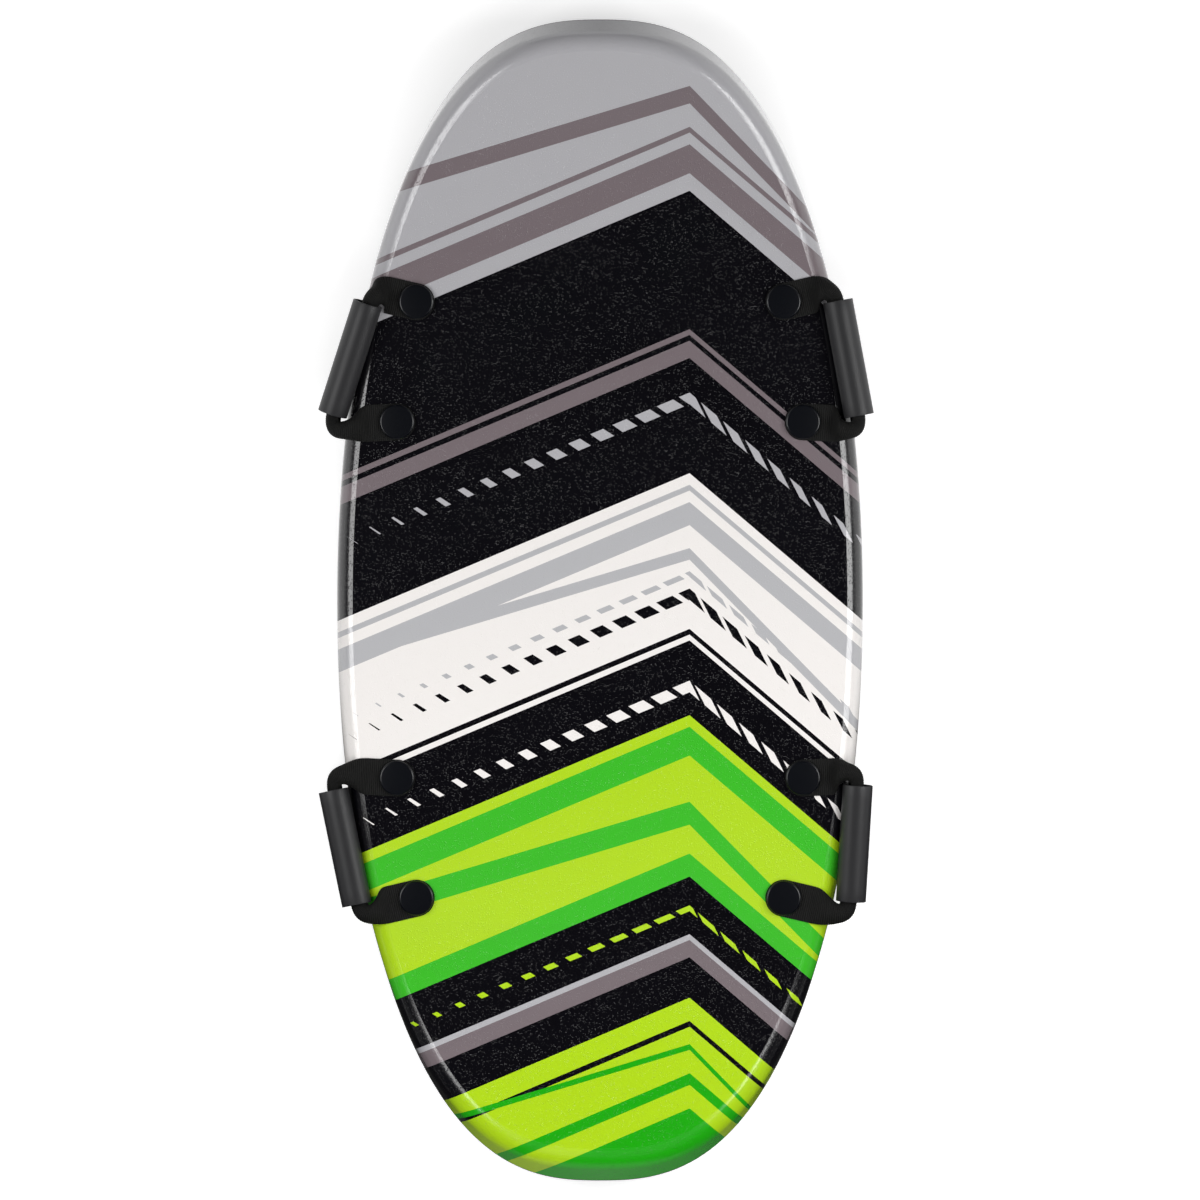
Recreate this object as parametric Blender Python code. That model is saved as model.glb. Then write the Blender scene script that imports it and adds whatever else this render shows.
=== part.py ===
# Twin-tip foam sled with four webbing handles.
# Metres, +Z up, the nose towards +Y. The origin is the middle of the flat underside.

import math

import bmesh
import bpy
from mathutils import Matrix, Vector

# Board outline and side view
BOARD_LENGTH = 1.100
BOARD_WIDTH = 0.500
BOARD_THICKNESS = 0.045
OUTLINE_CROSS_POWER = 2.63  # fuller sides than an ellipse
OUTLINE_LONG_POWER = 2.0
FLAT_LENGTH = 0.612  # the middle stretch that lies on the snow
TIP_RISE = 0.058  # both tips curl up by this much
SHOULDER_WIDTH = 0.0152  # from the outline to where the deck breaks downwards
SHOULDER_BREAK = math.radians(12)  # the crease there, pressed into the film
CHINE_RADIUS = 0.0035  # round-over between rail and underside
OUTLINE_STEPS = 20  # facets in a quarter of the outline
SHOULDER_STEPS = 3
CHINE_STEPS = 2

# Laminated layers
FILM_THICKNESS = 0.0010  # printed film on deck and rails
SLICK_THICKNESS = 0.0015  # polyethylene sheet under the board
GAP = 0.0003  # between pieces that touch

# Snap rivets that hold the straps
CAP_RADIUS = 0.0165
CAP_HEIGHT = 0.0036
CAP_ROUND = 0.0016
CAP_ROUND_STEPS = 2
POST_RADIUS = 0.0045
POST_LEAD_IN = 0.0010
POST_END_ROOM = 0.0010  # between the post's foot and the base
SLEEVE_WALL = 0.0018
SLEEVE_TO_DECK = 0.011  # from the sleeve's top to the deck
BASE_THICKNESS = 0.0025
BASE_RECESS = 0.0004  # the base sits this far inside the underside
RIVET_STEPS = 18

# Where the handles are fixed
CAP_INSET = 0.048  # from the outline to a cap's centre, across the board
CAP_TO_CURL = 0.0065  # from the outer cap's edge to where the tip curls up
CAP_SPACING = 0.114  # between the two caps of a handle, along the board

# Webbing and grip
STRAP_WIDTH = 0.035
STRAP_THICKNESS = 0.0018
FLEX_OFFSET = 0.004  # from the cap's edge to the line where the webbing flexes
FLEX_GAP = 0.0005  # the fixed end stops this far short of the flexing webbing
GRIP_LENGTH = 0.111
GRIP_RADIUS = 0.01425
GRIP_WALL = 0.0020
GRIP_CHAMFER = 0.0005
GRIP_STEPS = 24
GRIP_TO_SHOULDER = 0.0008  # air under a grip at rest
GRIP_SAG = 0.002  # a grip's axis hangs no further than this below the deck
CURL_RADIUS = 0.008  # the webbing lies curled up in the grip
CURL_TO_BORE = 0.0004
CURL_IN_GRIP = 0.002  # it is fully curled this far inside the mouth
RIM_ROOM = 0.0012  # between the webbing's near edge and the grip's rim
STRAP_ACROSS_STEPS = 6
CORNER_STEPS = 12  # sections of webbing between flex line and grip
STRAIGHT_LEAD = 0.006  # straight webbing outside the flex line
LEAD_RISE = 0.06  # how steeply it then lifts off the deck
FAR_EDGE_LAG = 1.35  # how far the webbing's far edge trails its near edge round the corner

# The two straps of a handle: angle away from the grip, lean inside the grip, then how far the far edge
# runs on past the deck and how far it stands out of the grip
STRAP_LAYS = {
    "inner": (math.radians(12), math.radians(100), 2.2, 1.0),
    "outer": (math.radians(4), math.radians(60), 2.5, 0.9),
}

# Each grip as it lies: reach from the line of caps, slide along the strap, yaw in degrees
GRIP_POSES = {
    "front_right": (0.0520, -0.0050, -1.4),
    "front_left": (0.0533, 0.0055, 8.7),
    "rear_left": (0.0590, -0.0005, -2.5),
    "rear_right": (0.0578, 0.0045, -5.8),
}
CORNER_OF_BOARD = {
    "front_right": (1, 1),
    "front_left": (-1, 1),
    "rear_left": (-1, -1),
    "rear_right": (1, -1),
}

# Values that follow from the ones above
HALF_LENGTH = BOARD_LENGTH / 2
HALF_WIDTH = BOARD_WIDTH / 2
FLAT_END = FLAT_LENGTH / 2
TIP_RUN = HALF_LENGTH - FLAT_END
ROCKER_RADIUS = (TIP_RUN**2 + TIP_RISE**2) / (2 * TIP_RISE)
SHOULDER_RADIUS = SHOULDER_WIDTH / (1 - math.sin(SHOULDER_BREAK))  # from the crease round to the rail
SHOULDER_DROP = SHOULDER_RADIUS * math.cos(SHOULDER_BREAK)
POST_HOLE = POST_RADIUS + GAP
SLEEVE_RADIUS = POST_HOLE + SLEEVE_WALL
SLEEVE_TOP = BOARD_THICKNESS - SLEEVE_TO_DECK
BASE_TOP = BASE_RECESS + BASE_THICKNESS
WEB_LEVEL = BOARD_THICKNESS + GAP + STRAP_THICKNESS / 2  # middle of the webbing on the deck
CAP_LEVEL = WEB_LEVEL + STRAP_THICKNESS / 2 + GAP  # underside of a cap
FLEX_DISTANCE = CAP_RADIUS + FLEX_OFFSET
BORE_RADIUS = GRIP_RADIUS - GRIP_WALL
CURL_ANGLE = STRAP_WIDTH / (2 * CURL_RADIUS)  # half the arc that the curled webbing fills
CURL_SHIFT = BORE_RADIUS - CURL_TO_BORE - STRAP_THICKNESS / 2 - CURL_RADIUS  # pulled against the bore
UP = Vector((0, 0, 1))


# Board geometry

def bend(x, s, h):
    """Place of a point x across, s along the underside and h above it, once the tips are curled."""
    angle = max(abs(s) - FLAT_END, 0.0) / ROCKER_RADIUS
    if angle == 0:
        return Vector((x, s, h))
    y = FLAT_END + (ROCKER_RADIUS - h) * math.sin(angle)
    z = ROCKER_RADIUS - (ROCKER_RADIUS - h) * math.cos(angle)
    return Vector((x, math.copysign(y, s), z))


def along_underside(y):
    """The length along the underside to where the rail stands at y in plan."""
    past = max(y - FLAT_END, 0.0)
    turned_by = math.asin(past / (ROCKER_RADIUS - CHINE_RADIUS))
    return min(y, FLAT_END) + ROCKER_RADIUS * turned_by


def half_width(y):
    """Half the board's width at y, seen from above."""
    share = max(1 - abs(y / HALF_LENGTH) ** OUTLINE_LONG_POWER, 0.0)
    return HALF_WIDTH * share ** (1 / OUTLINE_CROSS_POWER)


def evenly_spaced(dense, steps):
    """Points at equal steps along a line of many points."""
    runs = [0.0]
    for a, b in zip(dense, dense[1:]):
        runs.append(runs[-1] + (b - a).length)
    picked = []
    k = 0
    for i in range(steps + 1):
        wanted = runs[-1] * i / steps
        while k < len(dense) - 2 and runs[k + 1] < wanted:
            k += 1
        share = (wanted - runs[k]) / (runs[k + 1] - runs[k])
        picked.append(dense[k].lerp(dense[k + 1], share))
    return picked


def whole_outline():
    """The outline laid flat, counter-clockwise from the widest point on the right."""
    dense = []
    samples = 400
    for i in range(samples + 1):
        turn = math.pi / 2 * i / samples
        x = HALF_WIDTH * max(math.cos(turn), 0.0) ** (2 / OUTLINE_CROSS_POWER)
        y = HALF_LENGTH * math.sin(turn) ** (2 / OUTLINE_LONG_POWER)
        dense.append(Vector((x, along_underside(y))))
    quarter = evenly_spaced(dense, OUTLINE_STEPS)
    half = quarter + [Vector((-p.x, p.y)) for p in reversed(quarter[:-1])]
    return half + [Vector((p.x, -p.y)) for p in reversed(half[1:-1])]


def inward_normals(ring):
    """Unit normals in the plane of the outline, pointing to its inside."""
    normals = []
    for i in range(len(ring)):
        along = ring[(i + 1) % len(ring)] - ring[i - 1]
        normals.append(Vector((-along.y, along.x)).normalized())
    return normals


def arc(radius, inset, height, start, end, steps):
    """Profile points (inset, height) on an arc about a centre, its angles measured from straight outward."""
    points = []
    for i in range(steps + 1):
        turn = math.radians(start + (end - start) * i / steps)
        points.append((inset - radius * math.cos(turn), height + radius * math.sin(turn)))
    return points


def shoulder(depth):
    """The rounded upper edge, depth inside the film's outer face."""
    height = BOARD_THICKNESS - SHOULDER_DROP
    stop = 90 - math.degrees(SHOULDER_BREAK)
    return arc(SHOULDER_RADIUS - depth, SHOULDER_RADIUS, height, 0, stop, SHOULDER_STEPS)


def chine(depth):
    """The rounded lower edge, depth inside the slick sheet's outer face."""
    return arc(CHINE_RADIUS - depth, CHINE_RADIUS, CHINE_RADIUS, -90, 0, CHINE_STEPS)


# Mesh helpers

def material(name, colour, roughness):
    made = bpy.data.materials.new(name)
    made.use_nodes = True
    shader = made.node_tree.nodes["Principled BSDF"]
    shader.inputs["Base Color"].default_value = (*colour, 1.0)
    shader.inputs["Roughness"].default_value = roughness
    made.diffuse_color = (*colour, 1.0)
    return made


def add_object(name, bm, finish, place=None):
    """Turns a bmesh into a named object whose round faces are shaded smooth."""
    bmesh.ops.recalc_face_normals(bm, faces=bm.faces)
    mesh = bpy.data.meshes.new(name)
    bm.to_mesh(mesh)
    bm.free()
    mesh.shade_smooth()
    mesh.set_sharp_from_angle(angle=math.radians(35))
    mesh.materials.append(finish)
    made = bpy.data.objects.new(name, mesh)
    bpy.context.collection.objects.link(made)
    if place is not None:
        made.matrix_world = place
    return made


def join_rings(bm, rings, closed=True):
    """Quads between neighbouring rings of equal length."""
    count = len(rings[0]) if closed else len(rings[0]) - 1
    for lower, upper in zip(rings, rings[1:]):
        for i in range(count):
            j = (i + 1) % len(lower)
            bm.faces.new((lower[i], lower[j], upper[j], upper[i]))


def extrude_outline(bm, outline, low, high):
    """An upright prism on a closed outline."""
    rings = [[bm.verts.new((x, y, z)) for x, y in outline] for z in (low, high)]
    join_rings(bm, rings)
    bm.faces.new(rings[0])
    bm.faces.new(rings[1])


def span_across(bm, ring):
    """Closes a ring of the board with strips from one rail to the other."""
    quarter = OUTLINE_STEPS
    for i in range(-quarter, quarter):
        j = 2 * quarter - i
        strip = (ring[i], ring[i + 1], ring[j - 1], ring[j % len(ring)])
        bm.faces.new(list(dict.fromkeys(strip)))


def board_layer(name, profile, finish):
    """A layer of the board: its profile (inset, height) carried round the outline, both ends spanned."""
    outline = whole_outline()
    normals = inward_normals(outline)
    bm = bmesh.new()
    rings = []
    for inset, height in profile:
        moved = [point + normal * inset for point, normal in zip(outline, normals)]
        rings.append([bm.verts.new(bend(p.x, p.y, height)) for p in moved])
    join_rings(bm, rings)
    span_across(bm, rings[0])
    span_across(bm, rings[-1])
    return add_object(name, bm, finish)


def turned(name, profile, steps, finish, place):
    """A turned solid from a profile (radius, height) that ends on the axis, or closes on itself."""
    bm = bmesh.new()
    verts = [bm.verts.new((radius, 0, height)) for radius, height in profile]
    edges = [bm.edges.new(pair) for pair in zip(verts, verts[1:])]
    if profile[0][0] > 0:
        edges.append(bm.edges.new((verts[-1], verts[0])))
    bmesh.ops.spin(bm, geom=verts + edges, cent=(0, 0, 0), axis=UP, angle=math.tau, steps=steps, use_merge=True)
    bmesh.ops.remove_doubles(bm, verts=bm.verts, dist=0.00001)
    return add_object(name, bm, finish, place)


def circle(radius, steps, middle=(0, 0)):
    turns = [math.tau * i / steps for i in range(steps)]
    return [(middle[0] + radius * math.cos(turn), middle[1] + radius * math.sin(turn)) for turn in turns]


def hole_guide(name, radius, low, high):
    """A hidden guide with an upright cylinder at every cap."""
    bm = bmesh.new()
    for corner in CORNER_OF_BOARD.values():
        for place in cap_places(corner):
            extrude_outline(bm, circle(radius, RIVET_STEPS, place), low, high)
    guide = add_object(name, bm, FINISHES["guide"])
    guide.hide_render = True
    guide.display_type = "WIRE"
    return guide


def cut(target, guide):
    step = target.modifiers.new(guide.name, "BOOLEAN")
    step.operation = "DIFFERENCE"
    step.solver = "EXACT"
    step.object = guide


# Where a handle sits

def cap_places(corner):
    """Centres of a handle's two caps in plan, the one nearer the board's middle first."""
    across, along = corner
    outer_y = FLAT_END - CAP_RADIUS - CAP_TO_CURL
    places = []
    for y in (outer_y - CAP_SPACING, outer_y):
        places.append(Vector((across * (half_width(y) - CAP_INSET), along * y)))
    return places


def cap_frame(corner):
    """A handle's own axes: u outboard, v along the line of caps, origin midway between them."""
    inner, outer = cap_places(corner)
    v = (outer - inner).normalized().to_3d()
    if v.y * corner[0] < 0:
        v = -v
    frame = Matrix((v.cross(UP), v, UP)).transposed().to_4x4()
    frame.translation = ((inner + outer) / 2).to_3d() + UP * WEB_LEVEL
    return frame


def flex_frame(corner):
    """The same axes, moved outboard to the line where the webbing flexes."""
    return cap_frame(corner) @ Matrix.Translation((FLEX_DISTANCE, 0, 0))


def cap_offset(corner):
    """Distance along v from the handle's middle to a cap."""
    inner, outer = cap_places(corner)
    return (outer - inner).length / 2


def inner_end(corner):
    """The end of v, -1 or 1, at which the cap nearer the board's middle lies."""
    across, along = corner
    return -across * along


def strap_lay(corner, end):
    """How the strap at this end of v lies."""
    return STRAP_LAYS["inner" if end == inner_end(corner) else "outer"]


def rest_height(point):
    """Height above the deck at which a grip's axis clears the rounded shoulder below it."""
    nearby = 0.001
    slope = (half_width(point.y + nearby) - half_width(point.y - nearby)) / (2 * nearby)
    outside = (abs(point.x) - half_width(point.y)) / math.hypot(1, slope)
    reach = SHOULDER_RADIUS + GRIP_RADIUS + GRIP_TO_SHOULDER
    beside = outside + SHOULDER_RADIUS
    height = math.sqrt(max(reach**2 - beside**2, 0.0)) - SHOULDER_DROP
    return max(height, -GRIP_SAG)


def grip_line(handle):
    """The middle and direction of a grip's axis, in the frame of its flex line."""
    reach, slide, yaw = GRIP_POSES[handle]
    corner = CORNER_OF_BOARD[handle]
    lean = math.radians(yaw)
    low, middle, high = [
        Vector((reach + along * math.sin(lean), slide + along * math.cos(lean), 0))
        for along in (-GRIP_LENGTH / 2, 0, GRIP_LENGTH / 2)
    ]
    for place in (low, middle, high):
        place.z = BOARD_THICKNESS + rest_height(cap_frame(corner) @ place) - WEB_LEVEL
    middle.z = max(middle.z, (low.z + high.z) / 2)  # the outline bows out under the grip
    return middle - Vector((FLEX_DISTANCE, 0, 0)), (high - low).normalized()


# Webbing

def curve_between(a, leaving, b, arriving, t):
    """A point between a and b on a cubic curve with these end tangents."""
    start = a * (1 + 2 * t) + leaving * t
    finish = b * (3 - 2 * t) - arriving * (1 - t)
    return start * (1 - t) ** 2 + finish * t**2


def arch_angle(share):
    """Half the angle of the arc whose chord is this share of its length."""
    low, high = 0.0, math.pi
    for _ in range(40):
        middle = (low + high) / 2
        if math.sin(middle) > share * middle:
            low = middle
        else:
            high = middle
    return low


def arched_section(near, far, along, end):
    """Points across the middle of the webbing and their normals, from its near edge to its far edge.
    Where the edges are closer than the webbing is wide, it arches up and outwards between them."""
    chord = far - near
    half = max(arch_angle(chord.length / STRAP_WIDTH), 0.01)
    radius = STRAP_WIDTH / (2 * half)
    wide = chord.normalized()
    top = along.cross(wide).normalized() * end
    centre = (near + far) / 2 - top * radius * math.cos(half)
    points = []
    for i in range(STRAP_ACROSS_STEPS + 1):
        turn = half * (2 * i / STRAP_ACROSS_STEPS - 1)
        normal = top * math.cos(turn) + wide * math.sin(turn)
        points.append((centre + normal * radius, normal))
    return points


def flat_section(middle, edge):
    """Points across flat webbing, from its near edge to its far edge."""
    shares = [2 * i / STRAP_ACROSS_STEPS - 1 for i in range(STRAP_ACROSS_STEPS + 1)]
    return [(middle + edge * share, UP) for share in shares]


def strap_corner(handle, end):
    """Sections of webbing from the flex line at this end of v to just inside the grip's mouth."""
    corner = CORNER_OF_BOARD[handle]
    lean, roll, run_on, stand_out = strap_lay(corner, end)
    half = STRAP_WIDTH / 2
    start = Vector((0, end * (cap_offset(corner) + FLEX_DISTANCE * math.tan(lean)), 0))
    heading = Vector((math.cos(lean), end * math.sin(lean), 0))
    lead = start + heading * STRAIGHT_LEAD
    edge = UP.cross(heading) * half * end

    middle, axis = grip_line(handle)
    outlet = axis * end
    outboard = outlet.cross(UP).normalized() * end
    upward = (UP - outlet * outlet.z).normalized()
    mouth = middle + outlet * GRIP_LENGTH / 2
    curl = mouth - outlet * CURL_IN_GRIP - outboard * CURL_SHIFT
    stops = []
    for turn in (roll - CURL_ANGLE, roll + CURL_ANGLE):
        stops.append(curl + (outboard * math.sin(turn) + upward * math.cos(turn)) * CURL_RADIUS)

    # The near edge rounds the grip's rim, and the far edge swings wide
    rising = heading + UP * LEAD_RISE
    near_start, far_start = lead - edge, lead + edge
    rim = mouth - outboard * GRIP_RADIUS + (outlet - outboard).normalized() * (STRAP_THICKNESS / 2 + RIM_ROOM)
    rim.z = (near_start.z + stops[0].z) / 2
    near_pull = (rim - near_start).length
    rim_pull = (stops[0] - rim).length
    far_pull = (stops[1] - far_start).length
    past_rim = (outlet + outboard).normalized()

    def near_edge(t):
        if t < 0.5:
            return curve_between(near_start, rising * near_pull, rim, past_rim * near_pull, 2 * t)
        return curve_between(rim, past_rim * near_pull, stops[0], -outlet * rim_pull * 2, 2 * t - 1)

    def far_edge(t):
        leaving, arriving = rising * far_pull * run_on, -outlet * far_pull * stand_out
        return curve_between(far_start, leaving, stops[1], arriving, t**FAR_EDGE_LAG)

    sections = [flat_section(start, Vector((0, end * half / math.cos(lean), 0))), flat_section(lead, edge)]
    nearby = 0.01
    for k in range(1, CORNER_STEPS + 1):
        t = k / CORNER_STEPS
        before, after = t - nearby, min(t + nearby, 1)
        along = near_edge(after) - near_edge(before) + far_edge(after) - far_edge(before)
        sections.append(arched_section(near_edge(t), far_edge(t), along, end))
    return sections


def round_off(bm, upper, lower, points):
    """Closes the webbing at the flex line with a half-round edge about that line."""
    half = STRAP_THICKNESS / 2
    rows = [upper]
    for degrees in (45, 90, 135):
        turn = math.radians(degrees)
        shift = Vector((-half * math.sin(turn), 0, half * math.cos(turn)))
        rows.append([bm.verts.new(place + shift) for place, _ in points])
    rows.append(lower)
    join_rings(bm, rows, closed=False)
    bm.faces.new([row[0] for row in rows])
    bm.faces.new([row[-1] for row in rows])


def strap_loop(handle):
    """The webbing from one flex line, through the grip, to the other."""
    sections = strap_corner(handle, 1) + strap_corner(handle, -1)[::-1]
    half = STRAP_THICKNESS / 2
    bm = bmesh.new()
    uppers = [[bm.verts.new(place + normal * half) for place, normal in points] for points in sections]
    lowers = [[bm.verts.new(place - normal * half) for place, normal in points] for points in sections]
    join_rings(bm, [upper + lower[::-1] for upper, lower in zip(uppers, lowers)])
    for i in (0, -1):
        round_off(bm, uppers[i], lowers[i], sections[i])
    place = flex_frame(CORNER_OF_BOARD[handle])
    return add_object(f"strap_loop_{handle}", bm, FINISHES["webbing"], place)


def strap_end(name, corner, end):
    """The webbing's fixed end: round behind its cap and cut straight short of the flex line."""
    lean = end * strap_lay(corner, end)[0]
    half = STRAP_WIDTH / 2
    stop = FLEX_DISTANCE - STRAP_THICKNESS / 2 - FLEX_GAP
    outline = []
    for i in range(13):
        turn = lean + math.radians(90 + 15 * i)
        outline.append((half * math.cos(turn), half * math.sin(turn)))
    for across in (-half, half):
        outline.append((stop, stop * math.tan(lean) + across / math.cos(lean)))
    bm = bmesh.new()
    extrude_outline(bm, outline, -STRAP_THICKNESS / 2, STRAP_THICKNESS / 2)
    place = cap_frame(corner) @ Matrix.Translation((0, end * cap_offset(corner), 0))
    return add_object(name, bm, FINISHES["webbing"], place)


# Grip and rivets

def grip(handle):
    """A hollow tube, placed with its own z along its axis."""
    middle, axis = grip_line(handle)
    half = GRIP_LENGTH / 2
    mouth = [
        (BORE_RADIUS, half - GRIP_CHAMFER),
        (BORE_RADIUS + GRIP_CHAMFER, half),
        (GRIP_RADIUS - GRIP_CHAMFER, half),
        (GRIP_RADIUS, half - GRIP_CHAMFER),
    ]
    profile = mouth + [(radius, -height) for radius, height in reversed(mouth)]
    stand = axis.to_track_quat("Z", "X").to_matrix().to_4x4()
    stand.translation = middle
    place = flex_frame(CORNER_OF_BOARD[handle]) @ stand
    return turned(f"grip_{handle}", profile, GRIP_STEPS, FINISHES["grip"], place)


def rivet_cap(name, place):
    """Cap and post in one piece, with its own origin under the cap."""
    foot = BASE_TOP + POST_END_ROOM - CAP_LEVEL
    profile = [
        (0, foot),
        (POST_RADIUS - POST_LEAD_IN, foot),
        (POST_RADIUS, foot + POST_LEAD_IN),
        (POST_RADIUS, 0),
        (CAP_RADIUS, 0),
    ]
    for i in range(CAP_ROUND_STEPS + 1):
        turn = math.pi / 2 * i / CAP_ROUND_STEPS
        radius = CAP_RADIUS - CAP_ROUND * (1 - math.cos(turn))
        profile.append((radius, CAP_HEIGHT - CAP_ROUND * (1 - math.sin(turn))))
    profile.append((0, CAP_HEIGHT))
    stand = Matrix.Translation((place.x, place.y, CAP_LEVEL))
    return turned(name, profile, RIVET_STEPS, FINISHES["rivet"], stand)


def rivet_base(name, place):
    """A disc let into the underside, with the sleeve that takes the cap's post."""
    profile = [
        (0, BASE_RECESS),
        (CAP_RADIUS, BASE_RECESS),
        (CAP_RADIUS, BASE_TOP),
        (SLEEVE_RADIUS, BASE_TOP),
        (SLEEVE_RADIUS, SLEEVE_TOP),
        (POST_HOLE, SLEEVE_TOP),
        (POST_HOLE, BASE_TOP),
        (0, BASE_TOP),
    ]
    return turned(name, profile, RIVET_STEPS, FINISHES["rivet"], Matrix.Translation(place.to_3d()))


# Assembly

for old in list(bpy.data.objects):
    bpy.data.objects.remove(old)

FINISHES = {
    "foam": material("expanded_foam", (0.82, 0.82, 0.80), 0.85),
    "film": material("printed_film", (0.42, 0.72, 0.03), 0.38),
    "slick": material("slick_polyethylene", (0.010, 0.010, 0.012), 0.32),
    "webbing": material("black_webbing", (0.012, 0.012, 0.013), 0.82),
    "grip": material("grip_plastic", (0.055, 0.055, 0.058), 0.50),
    "rivet": material("rivet_plastic", (0.006, 0.007, 0.011), 0.42),
    "guide": material("guide", (1.0, 0.2, 0.0), 1.0),
}

# The film covers the deck, the shoulders and the rails, down to the slick sheet
film_low = CHINE_RADIUS + GAP
film_profile = shoulder(FILM_THICKNESS)[::-1] + [(FILM_THICKNESS, film_low), (0, film_low)] + shoulder(0)
deck_film = board_layer("deck_film", film_profile, FINISHES["film"])
foam_core = board_layer(
    "foam_core", chine(SLICK_THICKNESS + GAP) + shoulder(FILM_THICKNESS + GAP), FINISHES["foam"]
)
slick_bottom = board_layer("slick_bottom", chine(SLICK_THICKNESS) + chine(0)[::-1], FINISHES["slick"])

# Rivet holes, with cutters that run past both faces
past = 0.005
post_holes = hole_guide("post_holes", POST_HOLE, SLEEVE_TOP, CAP_LEVEL + past)
sleeve_holes = hole_guide("sleeve_holes", SLEEVE_RADIUS + GAP, -past, BOARD_THICKNESS + past)
base_holes = hole_guide("base_holes", CAP_RADIUS + GAP, -past, BASE_TOP + GAP)
cut(deck_film, post_holes)
cut(foam_core, sleeve_holes)
cut(foam_core, base_holes)
cut(slick_bottom, base_holes)

for handle, corner in CORNER_OF_BOARD.items():
    loop = strap_loop(handle)
    tube = grip(handle)
    in_place = tube.matrix_world.copy()
    tube.parent = loop
    tube.matrix_world = in_place
    for spot, place in zip(("inner", "outer"), cap_places(corner)):
        end = inner_end(corner) if spot == "inner" else -inner_end(corner)
        cut(strap_end(f"strap_end_{handle}_{spot}", corner, end), post_holes)
        rivet_cap(f"rivet_cap_{handle}_{spot}", place)
        rivet_base(f"rivet_base_{handle}_{spot}", place)
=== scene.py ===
import math

import bmesh
import bpy
import numpy as np
from mathutils import Matrix, Vector, noise


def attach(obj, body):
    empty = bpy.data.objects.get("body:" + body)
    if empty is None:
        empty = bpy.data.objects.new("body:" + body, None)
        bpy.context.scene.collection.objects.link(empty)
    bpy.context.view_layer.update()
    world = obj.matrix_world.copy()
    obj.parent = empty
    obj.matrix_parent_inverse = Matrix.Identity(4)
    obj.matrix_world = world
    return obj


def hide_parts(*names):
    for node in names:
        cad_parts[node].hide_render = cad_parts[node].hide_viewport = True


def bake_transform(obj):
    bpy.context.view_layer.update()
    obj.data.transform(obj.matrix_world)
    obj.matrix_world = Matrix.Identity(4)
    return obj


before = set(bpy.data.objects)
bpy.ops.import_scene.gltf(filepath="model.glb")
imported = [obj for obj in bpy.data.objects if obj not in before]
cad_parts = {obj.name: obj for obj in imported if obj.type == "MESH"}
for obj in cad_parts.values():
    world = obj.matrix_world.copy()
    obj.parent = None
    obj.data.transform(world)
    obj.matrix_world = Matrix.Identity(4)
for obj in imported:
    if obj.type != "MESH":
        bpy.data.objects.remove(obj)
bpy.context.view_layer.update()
up = Vector((0, 0, 1))
gap = 0.0003  # that touching pieces keep; sizes are in metres where nothing else is said
print("frame loaded")


# helpers for materials


# an sRGB hex colour as linear light
def linear(hexColour):
    channels = [int(hexColour[i : i + 2], 16) / 255 for i in (1, 3, 5)]
    return (*[c / 12.92 if c <= 0.04045 else ((c + 0.055) / 1.055) ** 2.4 for c in channels], 1.0)


def addNode(tree, kind, values=None, links=None, **settings):
    node = tree.nodes.new(kind)
    for key, value in settings.items():
        setattr(node, key, value)
    for key, value in (values or {}).items():
        node.inputs[key].default_value = value
    for key, socket in (links or {}).items():
        tree.links.new(socket, node.inputs[key])
    return node


def newMaterial(name, colour, finish):
    made = bpy.data.materials.new(name)
    made.use_nodes = True
    shader = made.node_tree.nodes["Principled BSDF"]
    shader.inputs["Base Color"].default_value = linear(colour)
    for key, value in finish.items():
        shader.inputs[key].default_value = value
    return made, made.node_tree, shader


def setRamp(ramp, stops, interpolation):
    ramp.interpolation = interpolation
    while len(ramp.elements) > 1:
        ramp.elements.remove(ramp.elements[-1])
    ramp.elements[0].position = stops[0][0]
    ramp.elements[0].color = stops[0][1]
    for place, colour in stops[1:]:
        ramp.elements.new(place).color = colour


# helpers for meshes


# smooth shaded, apart from edges that turn by more than sharpAngle degrees
def addMesh(name, verts, faces, material, sharpAngle=40):
    mesh = bpy.data.meshes.new(name)
    mesh.from_pydata([tuple(v) for v in verts], [], faces)
    bm = bmesh.new()
    bm.from_mesh(mesh)
    bmesh.ops.recalc_face_normals(bm, faces=bm.faces)
    bm.to_mesh(mesh)
    bm.free()
    mesh.shade_smooth()
    mesh.set_sharp_from_angle(angle=math.radians(sharpAngle))
    mesh.materials.append(material)
    made = bpy.data.objects.new(name, mesh)
    bpy.context.scene.collection.objects.link(made)
    return made


# faces between closed rings of points, each ring with the same count
def joinRings(faces, starts, count):
    for low, high in zip(starts, starts[1:]):
        for i in range(count):
            j = (i + 1) % count
            faces.append((low + i, low + j, high + j, high + i))


# a turned piece; a profile that starts away from the axis is a tube and closes on itself
def lathe(name, profile, sides, material, place):
    verts, faces, starts = [], [], []
    for radius, height in profile:
        starts.append((len(verts), radius == 0))
        if radius == 0:
            verts.append((0, 0, height))
            continue
        for i in range(sides):
            turn = math.tau * i / sides
            verts.append((radius * math.cos(turn), radius * math.sin(turn), height))
    pairs = list(zip(starts, starts[1:]))
    if profile[0][0] > 0:
        pairs.append((starts[-1], starts[0]))
    for (a, aPoint), (b, bPoint) in pairs:
        for i in range(sides):
            j = (i + 1) % sides
            if aPoint and not bPoint:
                faces.append((a, b + i, b + j))
            elif bPoint and not aPoint:
                faces.append((a + i, a + j, b))
            elif not aPoint:
                faces.append((a + i, a + j, b + j, b + i))
    made = addMesh(name, verts, faces, material)
    made.matrix_world = place
    return made


# board


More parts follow.
